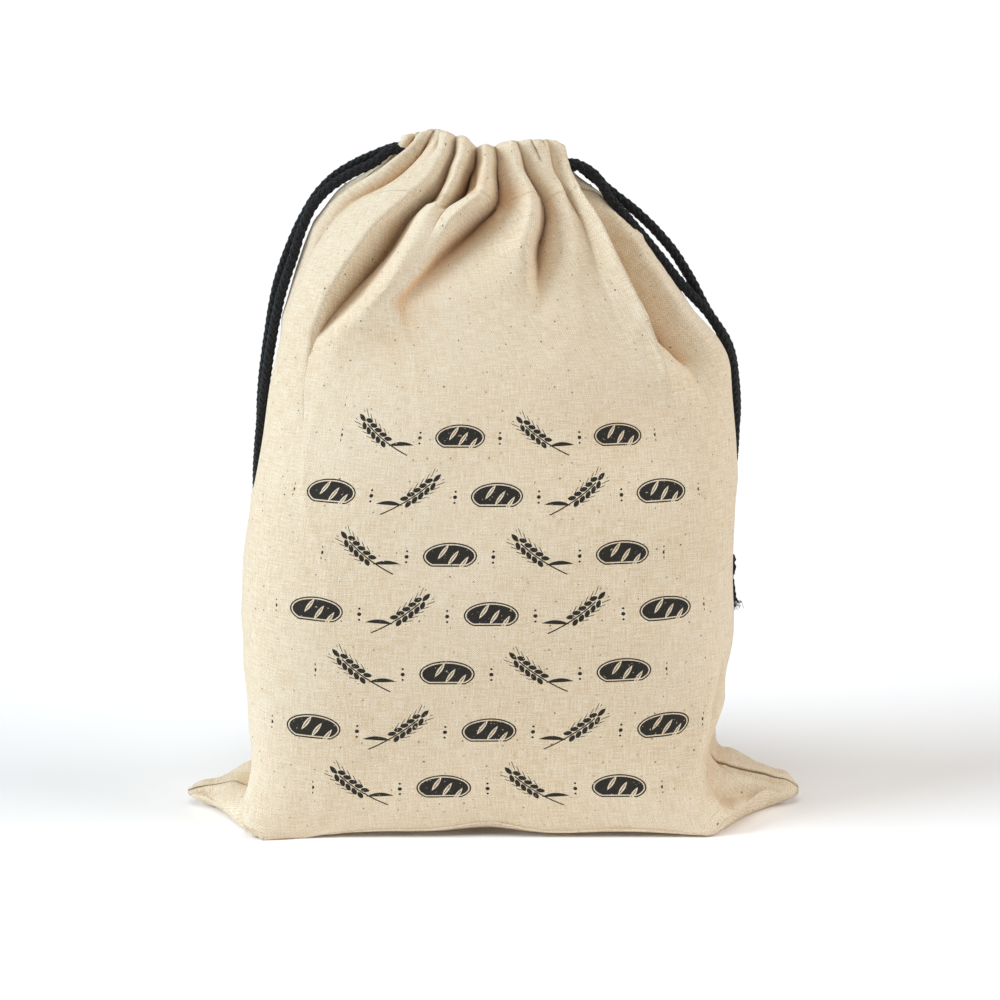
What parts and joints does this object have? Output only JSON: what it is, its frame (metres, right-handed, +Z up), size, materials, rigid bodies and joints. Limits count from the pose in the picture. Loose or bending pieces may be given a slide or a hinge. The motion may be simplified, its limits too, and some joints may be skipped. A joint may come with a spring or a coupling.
{
  "type": "bread bag",
  "caption": "Drawstring bread bag of unbleached cotton, standing filled, with a flat base, corner ears and a gathered mouth drawn by braided cords knotted at the sides.",
  "frame": {"origin": "middle of the bag's box seen from above, on the surface that it stands on", "axes": "+Z up, the front panel faces -Y, +X to the right seen from the front"},
  "size_m": [0.3004, 0.1185, 0.3242],
  "materials": {
    "cotton": "matt plain weave, unbleached, with small dark seed flecks",
    "cord": "matt braided cotton"
  },
  "bodies": {
    "root": {"bag": "cotton", "cord_left_front": "cord", "cord_left_back": "cord", "cord_right_front": "cord", "cord_right_back": "cord", "knot_left": "cord", "knot_right": "cord"}
  },
  "joints": []
}
